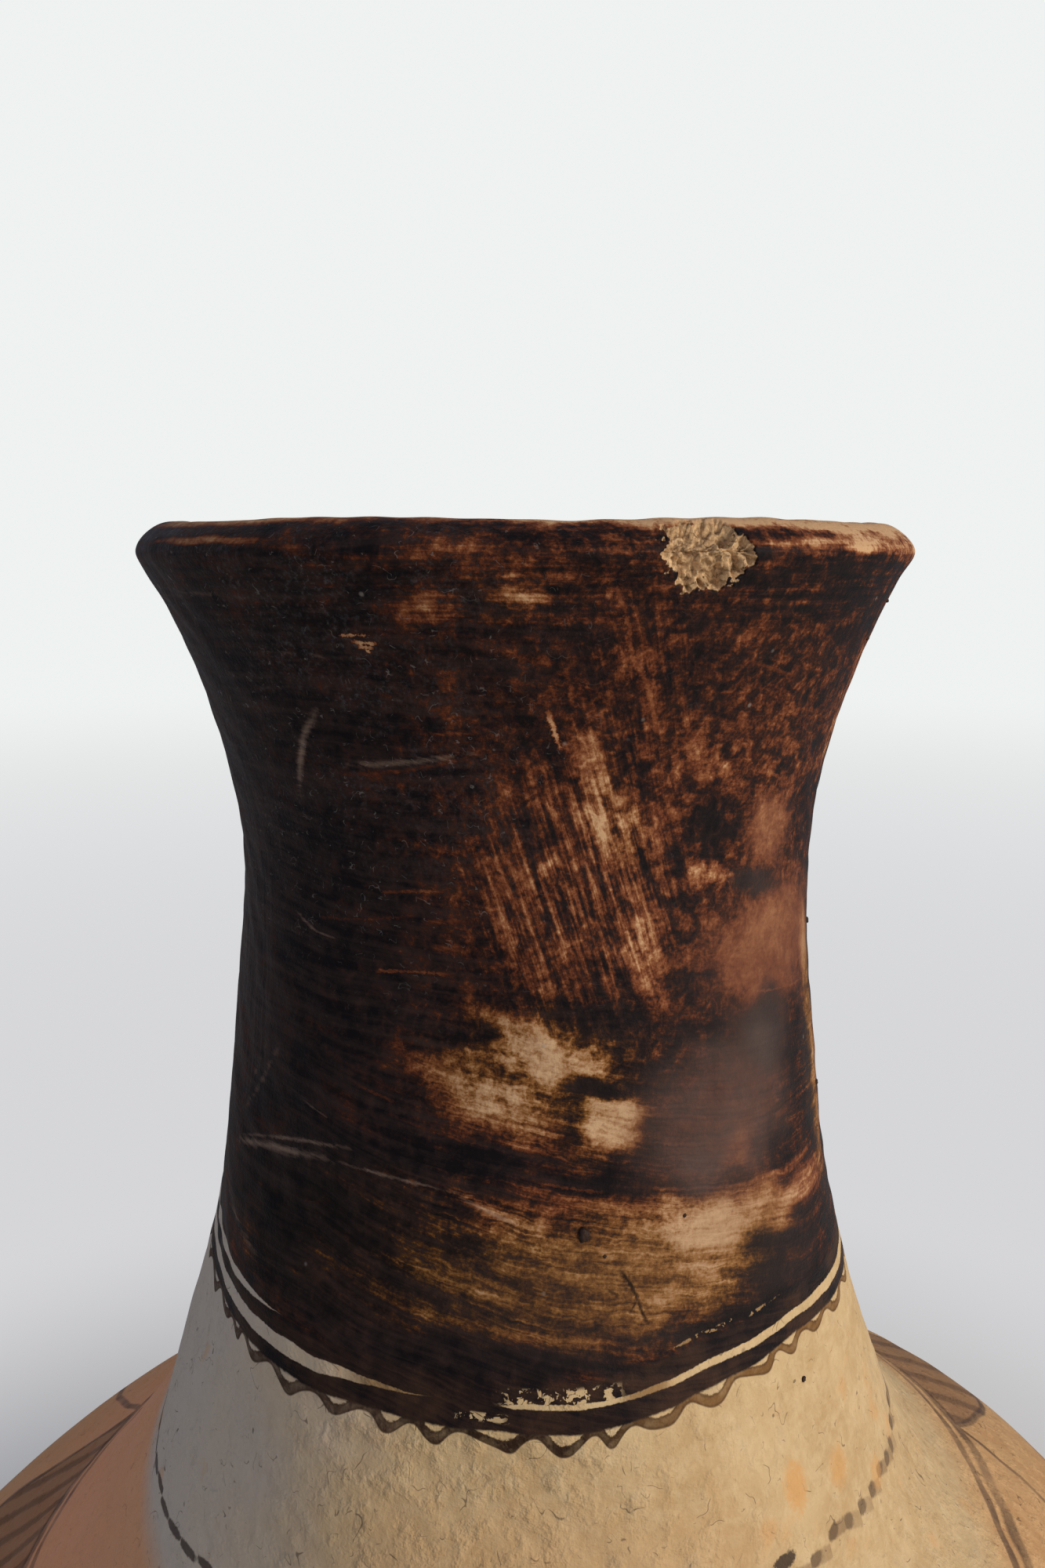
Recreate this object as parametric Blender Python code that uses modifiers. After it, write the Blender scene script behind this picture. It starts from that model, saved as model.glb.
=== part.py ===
"""A hand-built terracotta storage jar, in the pieces that the potter joins.

A slab disc makes the base. Flattened coils are added on it ring by ring, and a last coil makes the
lip. Each ring seats on the one below with a scarf joint: the seam starts low on the outer face and
climbs through the wall, so that the ring above laps the ring below.
"""

import math

import bpy

# Driving dimensions in metres. Heights are rises, stacked from the ground up.
FOOT_RADIUS = 0.095
BELLY_RISE = 0.195
BELLY_RADIUS = 0.224
SHOULDER_RISE = 0.105
SHOULDER_RADIUS = 0.160
COLLAR_RISE = 0.072
COLLAR_RADIUS = 0.091
BAND_RISE = 0.0445
BAND_RADIUS = 0.0776
WAIST_RISE = 0.0986
WAIST_RADIUS = 0.0658
LIP_RISE = 0.0643
LIP_RADIUS = 0.0844

# How far the wall runs outward for each unit of rise. It is upright at the belly and at the waist.
FOOT_FLARE = 1.05
SHOULDER_LEAN = -1.40
COLLAR_LEAN = -0.35
BAND_LEAN = -0.20
LIP_FLARE = 0.50

# Walls and edges
WALL = 0.009
BASE_THICKNESS = 0.014
FOOT_EDGE = 0.003
FLOOR_COVE = 0.014
LIP_DROP = 0.0056
LIP_SHOULDER = 0.0059
MOUTH_RING = 0.0035
MOUTH_EASE = 0.0018

# Joints between the rings
SCARF_LAP = 0.006
JOINT_GAP = 0.0004
BASE_SEAT = 0.008
LIP_SEAT = 0.0076

# Rings in each part of the jar
LOWER_BELLY_COURSE_COUNT = 4
UPPER_BELLY_COURSE_COUNT = 2
SHOULDER_COURSE_COUNT = 2
NECK_COURSE_COUNT = 4

# Fineness of the turned faces
TURN_STEP_COUNT = 56
OUTER_ROW_COUNT = 3
INNER_ROW_COUNT = 2
EDGE_ROW_COUNT = 3
SMOOTH_ANGLE = math.radians(40)

# Colour and roughness of each part's finish
FINISHES = {
    "base": ((0.36, 0.17, 0.09), 0.85),
    "lower_belly": ((0.40, 0.20, 0.11), 0.80),
    "upper_belly": ((0.52, 0.29, 0.15), 0.70),
    "shoulder": ((0.58, 0.43, 0.26), 0.60),
    "neck": ((0.06, 0.027, 0.018), 0.50),
    "lip": ((0.07, 0.032, 0.021), 0.52),
}

# Rings where the outline is set, as height, radius and lean
BELLY_HEIGHT = BELLY_RISE
SHOULDER_HEIGHT = BELLY_HEIGHT + SHOULDER_RISE
COLLAR_HEIGHT = SHOULDER_HEIGHT + COLLAR_RISE
BAND_HEIGHT = COLLAR_HEIGHT + BAND_RISE
WAIST_HEIGHT = BAND_HEIGHT + WAIST_RISE
LIP_HEIGHT = WAIST_HEIGHT + LIP_RISE
STATIONS = [
    (0.0, FOOT_RADIUS, FOOT_FLARE),
    (BELLY_HEIGHT, BELLY_RADIUS, 0.0),
    (SHOULDER_HEIGHT, SHOULDER_RADIUS, SHOULDER_LEAN),
    (COLLAR_HEIGHT, COLLAR_RADIUS, COLLAR_LEAN),
    (BAND_HEIGHT, BAND_RADIUS, BAND_LEAN),
    (WAIST_HEIGHT, WAIST_RADIUS, 0.0),
    (LIP_HEIGHT, LIP_RADIUS, LIP_FLARE),
]


def outline(height):
    """Radius and lean of the outer face, on a cubic between the two rings around this height."""
    for lower, upper in zip(STATIONS, STATIONS[1:]):
        if height <= upper[0]:
            break
    span = upper[0] - lower[0]
    t = (height - lower[0]) / span
    radius = (
        lower[1] * (2 * t**3 - 3 * t**2 + 1)
        + upper[1] * (3 * t**2 - 2 * t**3)
        + lower[2] * span * (t**3 - 2 * t**2 + t)
        + upper[2] * span * (t**3 - t**2)
    )
    lean = (
        (upper[1] - lower[1]) / span * (6 * t - 6 * t**2)
        + lower[2] * (3 * t**2 - 4 * t + 1)
        + upper[2] * (3 * t**2 - 2 * t)
    )
    return radius, lean


def outer_point(height):
    return outline(height)[0], height


def inner_point(height):
    """The point of the inner face that is one wall's thickness behind the outer face."""
    radius, lean = outline(height)
    scale = WALL / math.hypot(1.0, lean)
    return radius - scale, height + scale * lean


def spread(start, end, count):
    return [start + (end - start) * i / count for i in range(count + 1)]


def base_seat():
    """Outer and inner end of the bevel that the first ring stands on, at the edge of the floor."""
    return outer_point(BASE_SEAT), (inner_point(BASE_SEAT)[0], BASE_THICKNESS)


def base_profile():
    """Half section of the base disc, from the middle of the floor to the middle of the underside."""
    seat_outer, seat_inner = base_seat()
    return [
        (0.0, BASE_THICKNESS),
        seat_inner,
        seat_outer,
        outer_point(FOOT_EDGE),
        (FOOT_RADIUS - FOOT_EDGE, 0.0),
        (0.0, 0.0),
    ]


def floor_cove(wall_foot):
    """Clay pressed into the corner between the floor and the wall, as a curve up to the wall."""
    corner = (base_seat()[1][0], BASE_THICKNESS + JOINT_GAP)
    edge = (corner[0] - FLOOR_COVE, corner[1])
    middle = [(a + 2 * b + c) / 4 for a, b, c in zip(edge, corner, wall_foot)]
    return [corner, edge, tuple(middle)]


def course_profile(lower_seam, upper_seam):
    """Closed section of a ring, down its outer face and up its inner face."""
    half_lap = SCARF_LAP / 2
    standing_on_base = lower_seam == BASE_SEAT
    foot = BASE_SEAT if standing_on_base else lower_seam - half_lap
    inner_foot = BASE_SEAT + FLOOR_COVE if standing_on_base else lower_seam + half_lap
    outer = spread(upper_seam - half_lap, foot + JOINT_GAP, OUTER_ROW_COUNT)
    inner = spread(inner_foot + JOINT_GAP, upper_seam + half_lap, INNER_ROW_COUNT)
    seat = floor_cove(inner_point(inner[0])) if standing_on_base else []
    return [outer_point(h) for h in outer] + seat + [inner_point(h) for h in inner]


def lip_profile(lower_seam):
    """Closed section of the lip: a flat ring at the mouth, a round shoulder and a drooping edge."""
    half_lap = SCARF_LAP / 2
    ring_outer = LIP_RADIUS - LIP_SHOULDER
    mouth_radius = ring_outer - MOUTH_RING - MOUTH_EASE
    top = LIP_HEIGHT + LIP_DROP
    shoulder = [
        (
            ring_outer + LIP_SHOULDER * math.sin(angle),
            LIP_HEIGHT + LIP_DROP * math.cos(angle),
        )
        for angle in spread(0.0, math.pi / 2, EDGE_ROW_COUNT)
    ]
    under = [
        outer_point(h)
        for h in spread(LIP_HEIGHT, lower_seam - half_lap + JOINT_GAP, INNER_ROW_COUNT)
    ]
    mouth = [
        inner_point(lower_seam + half_lap + JOINT_GAP),
        (mouth_radius, top - MOUTH_EASE),
        (mouth_radius + MOUTH_EASE, top),
    ]
    return shoulder + under[1:] + mouth


def finish(node, part):
    """The fired surface of one piece."""
    colour, roughness = FINISHES[part]
    material = bpy.data.materials.new(node + "_finish")
    material.use_nodes = True
    shader = material.node_tree.nodes["Principled BSDF"]
    shader.inputs["Base Color"].default_value = (*colour, 1.0)
    shader.inputs["Roughness"].default_value = roughness
    shader.inputs["Metallic"].default_value = 0.0
    return material


def turned(node, part, profile, closed, jar, collection):
    """One piece of the jar: its half section, turned about the jar's axis from its own seat."""
    seat_height = min(z for _, z in profile)
    points = [(radius, 0.0, z - seat_height) for radius, z in profile]
    edges = [(i, i + 1) for i in range(len(points) - 1)]
    if closed:
        edges.append((len(points) - 1, 0))
    mesh = bpy.data.meshes.new(node)
    mesh.from_pydata(points, edges, [])
    mesh.materials.append(finish(node, part))
    piece = bpy.data.objects.new(node, mesh)
    piece.parent = jar
    piece.location.z = seat_height
    collection.objects.link(piece)

    turn = piece.modifiers.new("turn", "SCREW")
    turn.axis = "Z"
    turn.angle = 2 * math.pi
    turn.steps = TURN_STEP_COUNT
    turn.render_steps = TURN_STEP_COUNT
    turn.use_merge_vertices = True
    turn.merge_threshold = 0.00001
    turn.use_smooth_shade = True
    smooth = piece.modifiers.new("sharp seat edges", "EDGE_SPLIT")
    smooth.split_angle = SMOOTH_ANGLE
    return piece


def build_courses(part, count, lower, upper, jar, collection):
    seams = spread(lower, upper, count)
    for number, (foot, head) in enumerate(zip(seams, seams[1:]), start=1):
        turned(
            f"{part}_course_{number}",
            part,
            course_profile(foot, head),
            True,
            jar,
            collection,
        )


def build_jar():
    for old in list(bpy.data.objects):
        bpy.data.objects.remove(old, do_unlink=True)
    collection = bpy.data.collections.new("terracotta_jar")
    bpy.context.scene.collection.children.link(collection)
    jar = bpy.data.objects.new("jar_axis", None)
    collection.objects.link(jar)

    lip_seam = LIP_HEIGHT - LIP_SEAT
    turned("base_disc", "base", base_profile(), False, jar, collection)
    build_courses(
        "lower_belly", LOWER_BELLY_COURSE_COUNT, BASE_SEAT, BELLY_HEIGHT, jar, collection
    )
    build_courses(
        "upper_belly", UPPER_BELLY_COURSE_COUNT, BELLY_HEIGHT, SHOULDER_HEIGHT, jar, collection
    )
    build_courses(
        "shoulder", SHOULDER_COURSE_COUNT, SHOULDER_HEIGHT, COLLAR_HEIGHT, jar, collection
    )
    build_courses("neck", NECK_COURSE_COUNT, COLLAR_HEIGHT, lip_seam, jar, collection)
    turned("lip_coil", "lip", lip_profile(lip_seam), True, jar, collection)


build_jar()
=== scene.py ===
import math

import bpy
import numpy as np
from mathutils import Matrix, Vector, noise


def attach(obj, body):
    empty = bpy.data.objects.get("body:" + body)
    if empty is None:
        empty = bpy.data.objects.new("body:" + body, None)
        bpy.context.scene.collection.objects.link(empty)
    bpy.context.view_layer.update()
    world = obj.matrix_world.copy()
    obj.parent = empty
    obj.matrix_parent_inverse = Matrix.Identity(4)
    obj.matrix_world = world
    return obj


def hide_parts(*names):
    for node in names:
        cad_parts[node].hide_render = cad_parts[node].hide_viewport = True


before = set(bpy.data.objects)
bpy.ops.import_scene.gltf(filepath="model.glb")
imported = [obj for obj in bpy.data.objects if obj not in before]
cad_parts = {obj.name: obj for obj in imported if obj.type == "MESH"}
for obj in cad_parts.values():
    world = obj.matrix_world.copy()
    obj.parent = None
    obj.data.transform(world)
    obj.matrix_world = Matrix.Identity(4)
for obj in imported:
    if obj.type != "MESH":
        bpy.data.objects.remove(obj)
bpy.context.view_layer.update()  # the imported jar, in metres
mm = 0.001

# The jar's form, in millimetres, as its courses have it
jar = {
    "stations": [  # height, radius and lean of the outer face
        (0.0, 95.0, 1.05), (195.0, 224.0, 0.0), (300.0, 160.0, -1.4), (372.0, 91.0, -0.35),
        (416.5, 77.6, -0.2), (515.1, 65.8, 0.0), (579.4, 84.4, 0.5),
    ],
    "wall": 9.0,
    "lap": 6.0,
    "baseThickness": 14.0,
    "baseSeat": 8.0,
    "footEdge": 3.0,
    "floorCove": 14.0,
    "courses": [  # part, number of rings, height of its foot and head, columns, outer step
        ("lower_belly", 4, 8.0, 195.0, 600, 2.6),
        ("upper_belly", 2, 195.0, 300.0, 600, 2.2),
        ("shoulder", 2, 300.0, 372.0, 640, 1.3),
        ("neck", 4, 372.0, 571.8, 480, 1.0),
    ],
    "innerStep": 5.0,
    "baseColumns": 600,
    "dents": 0.09,
    "handWobble": 0.55,  # how uneven the hand left the neck
    "bellyWobble": 1.3,
    "bellyShift": 4.0,  # how far the body was set to the right of the neck
    "bodyHead": 372.0,  # where the neck stands on the body
    "bodyFade": 70.0,
    "footFlat": 2.0,  # the wall is true up to here, and uneven from the fade on
    "footFade": 60.0,
    "fingerRidges": 0.5,
    "meanNeck": 68.0,  # radius that stands for the whole neck
    "seed": 11,
}
neckDegree = math.radians(jar["meanNeck"])  # mm of arc

lip = {
    "seam": 571.8,
    "height": 579.4,
    "radius": 84.4,
    "drop": 5.6,  # mouth ring above the sharpest edge
    "shoulder": 5.9,  # width of the round shoulder
    "flatness": 0.55,
    "ring": 3.5,
    "ease": 1.8,
    "step": 0.45,
    "rounding": 16,  # smoothing passes on the section
    "mouthRun": 17.0,  # from the edge over to the bare inside
    "insideFrom": 14.0,  # where the finger ridges start
    "insideFade": 8.0,
}

chip = {
    "azimuth": 20.6,
    "size": 7.9,
    "depth": 2.1,
    "ragged": 1.7,
    "pit": (3.4, 3.2, 1.7),  # right, up, radius
    "reach": 13.0,
    "roughness": [(1.0, 0.45), (1.0, 1.0), (0.75, 2.1)],  # height and fineness
    "columnStep": 0.3,
    "fineReach": 11.0,  # columns get wider from here
    "columnGrowth": 0.08,
}

# Where the paint is rubbed off (+) or laid thick (-), and tall bands of painted sheen at the right edge
# of the neck:
# azimuth, height, half width in degrees, half height in mm, tilt in degrees, amount
rubbedOff = [
    # the lip
    (-6, 579, 26, 5, 0, 0.08), (-4, 578.5, 9, 2.6, 0, 0.12), (44, 585.4, 38, 2.8, 0, 0.6),
    (62, 583.2, 26, 4.8, 0, 0.54), (40, 580.4, 17, 1, 0, 0.46), (70, 580, 9, 2, 0, 0.3),
    (-45, 581.2, 13, 0.8, 0, 0.62), (-50, 584.6, 20, 1, 0, 0.66), (12, 585.6, 24, 2.5, 0, 0.66),
    (-26, 585.4, 22, 1.3, 0, 0.34),
    # the upper neck
    (-1, 572.2, 3.8, 2.4, -14, 0.4), (-12.5, 570, 4.4, 3, 2, 0.3), (15, 560, 3, 17, 26, 0.12),
    (26, 535, 38, 44, 0, 0.13), (-45, 545, 26, 45, 0, -0.07), (10, 541, 2.4, 5, 25, 0.16),
    (8, 546, 2.5, 4, 30, 0.22), (28, 541, 5, 3.5, -20, 0.2), (48, 540, 24, 20, 0, 0.05),
    # the tall band at azimuth 70 lightens the upper right edge: painted sheen
    (44, 566, 24, 10, 0, -0.06), (70, 553, 7, 22, 0, 0.3),
    # the scrubbed middle
    (7, 516, 17, 27, 0, 0.12), (13.5, 532, 3.2, 11, 24, 0.26), (20, 503, 3.6, 10, 20, 0.26),
    (-6, 512, 4.5, 17, 14, 0.05), (4, 507, 9, 10, 20, 0.04), (16.5, 517, 3.2, 18, 22, 0.07),
    (1, 529, 6, 5, 0, -0.16), (33, 518.5, 5.5, 2.4, -12, 0.42), (48, 525, 7, 7.5, -20, 0.3),
    (33, 528, 8, 5, 0, -0.24), (44, 515, 7, 2.6, -16, -0.22), (53, 501, 22, 14, 0, 0.38),
    # the pale patches under it
    (-38, 480, 26, 40, 0, -0.08), (47, 484, 5, 8, 0, -0.22), (12, 494, 9, 3, -6, -0.24),
    (2, 488.5, 14, 5.2, -24, 0.45), (-11, 481, 13, 4.2, -18, 0.42), (4, 481, 12, 7, -16, 0.26),
    (10.5, 480, 6, 2, -18, -0.62), (-6, 491.5, 2.2, 2, 0, -0.34),
    (14, 472.5, 5.2, 6.4, -6, 0.62), (-3, 473, 12, 4, -16, 0.3), (36, 470, 17, 14, 0, 0.16),
    # the tall band at azimuth 69 lightens the right edge: painted sheen
    (69, 484, 4.6, 20, 9, 0.32),
    # the foot of the neck
    (37, 462, 4.5, 3.2, 32, 0.24), (50, 452.5, 9, 1.2, -8, 0.22), (38, 448.5, 20, 5.8, -10, 0.47),
    (60, 444.5, 11, 4, -10, 0.24), (17, 443, 22, 12.5, -8, 0.29), (30, 436.5, 12, 7.5, -10, 0.08),
    (-34, 441, 12, 12, 0, -0.06), (-2, 455, 7, 3, -8, 0.24), (-16, 465.5, 25, 2.6, 2, -0.2),
    (10, 461, 9, 2.4, -8, -0.2), (8, 457, 14, 2, -6, 0.14), (-7, 457.5, 7, 0.7, -24, 0.3),
    (-12, 449, 12, 6, -12, 0.06), (47, 434, 10, 6, -6, -0.12), (-9, 428, 17, 4, 0, -0.32),
    (-13, 443, 12, 1.4, -13, 0.16), (-22, 438, 14, 1.2, -12, 0.14), (-60, 436, 9, 7, 10, 0.06),
    # the tall band at azimuth 72 lightens the right edge: painted sheen
    (-20, 441, 22, 12, -8, 0.04), (-48, 447, 11, 8, 0, -0.12), (72, 457, 5, 20, -8, 0.3),
    (42, 427.5, 16, 1.5, -6, -0.3), (2, 433, 12, 1.3, -10, 0.16),
    # the back
    (130, 470, 24, 10, -6, 0.42), (160, 505, 14, 22, -20, 0.3), (-150, 452, 26, 8, 5, 0.4),
    (-118, 520, 18, 20, 12, 0.2), (108, 548, 16, 14, -10, 0.22), (-165, 560, 20, 7, 0, 0.24),
    (-110, 585, 30, 1.6, 0, 0.45), (165, 585, 30, 1.8, 0, 0.5),
]

# Steep dry-brush rubbing, golden stain, smooth unstreaked paint that also takes a painted grey sheen,
# and grey patches of painted sheen, in the same order
steepRubbed = [
    (9, 519, 18, 27, 0, 1), (16, 560, 10, 16, 20, 0.5), (70, 550, 9, 26, 0, 0.8),
    (160, 505, 16, 24, 0, 0.8),
]
goldStain = [
    (15, 442, 28, 14, 0, 1), (38, 441, 14, 12, 0, 0.5), (-30, 445, 30, 18, 0, 0.9),
    (70, 470, 6, 32, 0, 1), (2, 484, 18, 12, 0, 0.8), (13, 472, 8, 8, 0, 0.5),
    (-2, 572, 5, 4, 0, 0.25), (14, 532, 4, 11, 24, 0.25), (130, 470, 24, 12, 0, 0.7),
    (-150, 452, 26, 10, 0, 0.7),
]
calmPaint = [
    (53, 500, 23, 15, 0, 1), (48, 525, 8, 8, -20, 0.8), (47, 482, 9, 9, 0, 1),
    (35, 470, 19, 15, 0, 0.85), (44, 447, 16, 7, -8, 0.6), (12, 440, 28, 13, 0, 0.55),
    (47, 434, 11, 7, 0, 0.5), (70, 472, 7, 32, 0, 0.5),
]
# grey patches of painted sheen on the smooth paint
greyHaze = [
    (36, 470, 17, 16, 0, 0.8), (47, 484, 6, 8.5, 0, 0.5), (30, 459, 7, 6, 0, 0.3),
    (44, 515, 8, 3, -16, 0.4),
]
# paint wear and the painted sheen, as maps over the neck
wearAndSheen = {
    "rubbedOff": rubbedOff, "steepRubbed": steepRubbed, "goldStain": goldStain,
    "greyHaze": greyHaze, "calmPaint": calmPaint,
}

# Single scratches and flakes in the dark paint:
# from azimuth and height, to azimuth and height, bow, width, how bare
scratches = [
    (10.2, 573.5, 13.6, 561, 0.6, 1, 0.56), (13.4, 562, 19, 548, 0.8, 1.3, 0.6),
    (3, 552, 4.9, 545.4, 0, 1.1, 0.9), (-13.5, 548, -7, 548.2, 0, 0.9, 0.46),
    (-13, 546, -8, 546.6, 0, 0.7, 0.38), (-29, 539.2, -7, 544.2, -0.8, 1.2, 0.42),
    (41, 538, 49, 534.5, 0.6, 1.1, 0.56), (31, 560.5, 42, 556.5, 0, 1.1, 0.4),
    (24, 546.4, 28, 543.4, 0.9, 1, 0.5), (28.2, 543.4, 26, 539.6, 0.8, 1.2, 0.5),
    (33, 495.4, 68, 487.5, -1, 0.8, 0.52), (-24.4, 565.2, -20.2, 565.4, 0, 0.5, 0.85),
    (-22.6, 564.1, -19.4, 563.9, 0, 0.7, 0.95), (-21.8, 563.4, -20, 563.1, 0, 0.8, 0.95),
    (-21, 562.8, -20.4, 562.3, 0, 0.7, 0.95), (-24, 516.5, -13, 518, 0.3, 0.8, 0.52),
    (-16, 512, -9.5, 512.6, 0, 1.6, 0.46), (-15, 507, -10, 507.2, 0, 2.2, 0.48),
    (-26, 500.4, -13, 501.8, 0.3, 0.9, 0.56), (-38, 509, -18, 513, -0.6, 0.8, 0.42),
    (-16, 484.6, 2, 477.6, -0.8, 1.1, 0.62), (-30, 478, -22, 475.6, 0, 0.7, 0.36),
    (2, 462, 12, 459.4, 0, 0.8, 0.48),
]

# Thin dark cracks, and pale dusty strokes on the dark left side, in the same order
cracks = [
    (14.6, 444, 17.2, 437.6, 0.3, 0.8, 0.9), (17, 438.6, 18.6, 433, -0.2, 0.7, 0.8),
    (17.4, 438.6, 16, 436.2, 0, 0.6, 0.7), (12.2, 441, 14, 439.4, 0, 0.6, 0.7),
]
dustStrokes = [
    (-31, 552, -39.5, 533, -1.6, 2.6, 0.95), (-46, 509.6, -34, 505.4, -1.4, 1.3, 0.85),
    (-47, 483, -62, 458.5, 0.8, 2.6, 0.55), (-53, 480, -63, 460, 0.6, 1.8, 0.45),
    (-63, 452, -32, 460.9, 1.2, 2.6, 1), (-62, 453.5, -28, 464.6, 1.6, 1.2, 0.85),
    (-34, 460.7, -10, 459.6, 0.8, 1.1, 0.85), (-12, 459.8, -1, 453.6, 0.4, 1.1, 0.8),
    (-42, 471, -34, 468.6, 0, 0.9, 0.8), (-66, 441, -46, 434, -0.8, 3.4, 0.65),
    (-30, 541, -6, 545, -0.6, 2, 0.75), (-62, 572, -32, 570.5, 0.4, 1.3, 0.45),
    (-40, 561.5, -26, 561, 0.4, 1.1, 0.5),
]

band = {
    "foot": 415.2,  # underside of the low dark stripe
    "gapHeight": 420.4,  # the pale gap above it, at its widest
    "gap": 3.8,
    "gapShut": 12.0,  # mm left of the front where it closes
    "highGapHeight": 426.4,  # a second gap, between the upper line and the neck
    "highGap": 3.2,
    "strokeHead": 425.2,
    "waver": 1.1,
    "climb": 1.5,  # how far the painter's hand rose on the right
    "teeth": 44,
    "toothDepth": 3.3,
    "toothWidth": 1.0,
}

body = {
    "slant": 0.055,  # the painter's rings climb to the right, in mm for each mm
    "dabHeight": 373.6,
    "dabs": 80,
    "dabTail": 5.6,
    "dabRadius": 92.0,  # of the collar under them
    "dabDip": 0.42,  # the ring sinks on the far right
    "dabDipFrom": 68.0,
    # azimuth, height, half width in degrees, half height in mm, strength
    "blots": [(36, 380.5, 2.2, 1.7, 0.9), (33, 379.8, 0.9, 0.9, 0.8)],
    "rust": [
        (41, 391, 2.9, 6, 0.75), (52, 386, 3.2, 4.6, 0.6), (63, 374, 2.6, 4, 0.55),
    ],
    "ringHeight": 322.0,
    "ringGap": 3.4,
    "wedges": 10,  # triangles hanging from the ring
    "wedgeApex": 103.0,
    "wedgeDepth": 43.0,
    "lobes": 14,
    "lobeHead": 268.0,
    "lobeDepth": 44.0,
    "paintFoot": 212.0,
}

# Colour of the neck from thick paint to bare slip
paintStops = {
    "loss": (0.0, 0.18, 0.33, 0.46, 0.59, 0.72, 0.86, 1.0),
    "red": (
        (0.007, 0.0055, 0.0065), (0.013, 0.008, 0.008), (0.034, 0.0125, 0.008), (0.092, 0.027, 0.012),
        (0.17, 0.053, 0.0215), (0.265, 0.103, 0.043), (0.4, 0.205, 0.1), (0.54, 0.33, 0.175),
    ),
    "golden": (
        (0.007, 0.0055, 0.006), (0.014, 0.0085, 0.0065), (0.04, 0.0175, 0.008), (0.092, 0.037, 0.01),
        (0.172, 0.071, 0.0175), (0.28, 0.132, 0.042), (0.41, 0.235, 0.122), (0.55, 0.355, 0.2),
    ),
}

grit = {
    "lumps": [  # azimuth, height, width, tallness
        (9, 451.6, 1.1, 1.5), (76, 497, 0.55, 0.7), (75, 458.5, 0.6, 0.7),
        (69, 569.5, 0.45, 0.5), (66, 562, 0.5, 0.5), (12.2, 447, 0.35, 0.4),
        (26, 452, 0.4, 0.4), (48, 407.5, 0.7, 0.6), (120, 480, 0.8, 0.9),
        (-140, 540, 0.7, 0.8), (178, 450, 1, 1.2), (-100, 430, 0.6, 0.7),
    ],
    "rings": 9,
    "sides": 14,
}

lights = {
    "keyPlace": (1.25, -0.8, 0.95),
    "keySize": 0.9,
    "keyPower": 20.5,
    "keyColour": (1.0, 0.93, 0.84),
    "fillPlace": (-1.3, -1.2, 1.2),
    "fillSize": 1.6,
    "fillPower": 2.0,
    "fillColour": (0.8, 0.88, 1.0),
    "aim": (0.0, 0.0, 0.46),
    "world": (0.25, 0.268, 0.325),
    "backdropHigh": (0.86, 0.885, 0.872),
    "backdropLow": (0.67, 0.67, 0.69),
    "backdropFade": (700.0, 5000.0),  # mm from the jar
    "floor": (0.8, 0.77, 0.7),
    "floorFade": (330.0, 760.0),  # where the floor passes into the backdrop
    "floorReach": 14.0,
    "floorSides": 96,
    "floorDrop": 0.0005,
}

view = {
    "distance": 273.0,
    "height": 579.0,
    "aside": -0.64,
    "pitch": 11.1,
    "lens": 27.0,
    "sensor": 36.0,
}


class Wire:
    # a socket of a node tree: arithmetic on it adds Math nodes
    def __init__(self, tree, socket=None):
        self.tree = tree
        self.socket = socket

    def add(self, kind, settings=None, inputs=None, out=0):
        node = self.tree.nodes.new("ShaderNode" + kind)
        for name, value in (settings or {}).items():
            if name == "stops":
                ramp = node.color_ramp.elements
                while len(ramp) < len(value):
                    ramp.new(1.0)
                for stop, (place, colour) in zip(ramp, value):
                    stop.position = place
                    stop.color = (*colour, 1.0)
            else:
                setattr(node, name, value)
        for name, value in (inputs or {}).items():
            if isinstance(value, Wire):
                self.tree.links.new(value.socket, node.inputs[name])
            else:
                node.inputs[name].default_value = value
        return Wire(self.tree, node.outputs[out])

    def math(self, operation, *others):
        return self.add("Math", {"operation": operation}, dict(enumerate((self, *others))))

    def __add__(self, other):
        return self.math("ADD", other)

    def __sub__(self, other):
        return self.math("SUBTRACT", other)

    def __rsub__(self, other):
        return self.add("Math", {"operation": "SUBTRACT"}, {0: other, 1: self})

    def __mul__(self, other):
        return self.math("MULTIPLY", other)

    __radd__ = __add__
    __rmul__ = __mul__

    def __truediv__(self, other):
        return self.math("DIVIDE", other)

    def __abs__(self):
        return self.math("ABSOLUTE")

    def over(self, low, high):
        # 0 below low, 1 above high, eased between
        return self.add("MapRange", {"interpolation_type": "SMOOTHSTEP"}, {0: self, 1: low, 2: high})

    def under(self, low, high):
        return 1 - self.over(low, high)

    def within(self, low, high, soft):
        return self.over(low - soft, low + soft) * self.under(high - soft, high + soft)

    def most(self, other):
        return self.math("MAXIMUM", other)

    def least(self, other):
        return self.math("MINIMUM", other)

    def held(self):
        return self.add("Clamp", None, {0: self})


def mixed(share, first, second):
    # a colour between two, each a tuple or a wire. The share is held from 0 to 1
    ends = [c if isinstance(c, Wire) else (*c, 1.0) for c in (first, second)]
    return share.add("Mix", {"data_type": "RGBA"}, {0: share, 6: ends[0], 7: ends[1]}, 2)


def cloud(place, size, detail=2.0, rough=0.55, bend=0.0):
    # soft noise about zero, with features of this size in mm
    settings = {"Scale": 1.0 / size, "Detail": detail, "Roughness": rough, "Distortion": bend}
    return place.add("TexNoise", None, {"Vector": place, **settings}) - 0.5


def spanOf(across, up):
    # distance from zero, by two wires
    return (across * across + up * up).math("SQRT")


def joined(x, y, z):
    return x.add("CombineXYZ", None, {0: x, 1: y, 2: z})


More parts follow.
